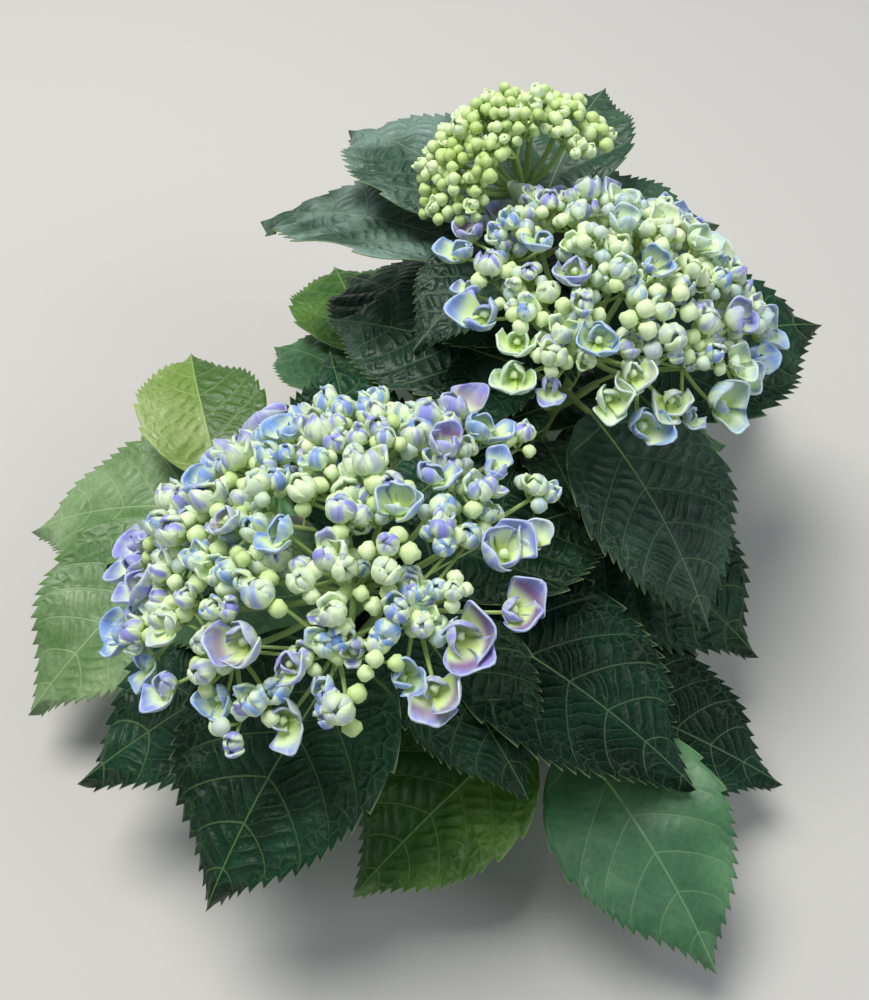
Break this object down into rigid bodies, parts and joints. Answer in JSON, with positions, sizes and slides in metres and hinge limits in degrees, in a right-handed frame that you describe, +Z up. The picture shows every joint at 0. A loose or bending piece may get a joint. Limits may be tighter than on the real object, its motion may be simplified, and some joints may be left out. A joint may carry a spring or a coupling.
{
  "type": "young mophead hydrangea shrub",
  "caption": "Young mophead hydrangea rooted in the ground: a short woody crown, arching canes, broad toothed leaves in pairs and domed flower heads just opening.",
  "frame": {"origin": "middle of the flat cut under the crown, at ground level", "axes": "+Z up along the crown, the picture looks along +Y with +X to its right"},
  "size_m": [0.4003, 0.4117, 0.2419],
  "materials": {
    "old_wood": "rough fissured bark",
    "cane_bark": "thin tan bark turning green towards the shoot",
    "blossom": "satin cream and violet-blue sepals with pale green buds",
    "green_buds": "satin lime-green buds",
    "dark_leaf": "glossy dark blue-green, quilted, with thin yellow-green veins",
    "bright_leaf": "semi-gloss fresh green with pale veins"
  },
  "bodies": {
    "root": {"crown": "old_wood", "cane_front": "cane_bark", "cane_right": "cane_bark", "cane_back": "cane_bark", "cane_low_left": "cane_bark", "cane_low_front": "cane_bark", "cane_low_back": "cane_bark", "cane_low_right": "cane_bark", "head_front": "blossom", "head_right": "blossom", "head_back": "green_buds", "shoot_front": "dark_leaf", "shoot_right": "dark_leaf", "shoot_back": "dark_leaf", "shoot_low_left": "bright_leaf", "shoot_low_front": "bright_leaf", "shoot_low_back": "bright_leaf", "shoot_low_right": "bright_leaf"}
  },
  "joints": []
}
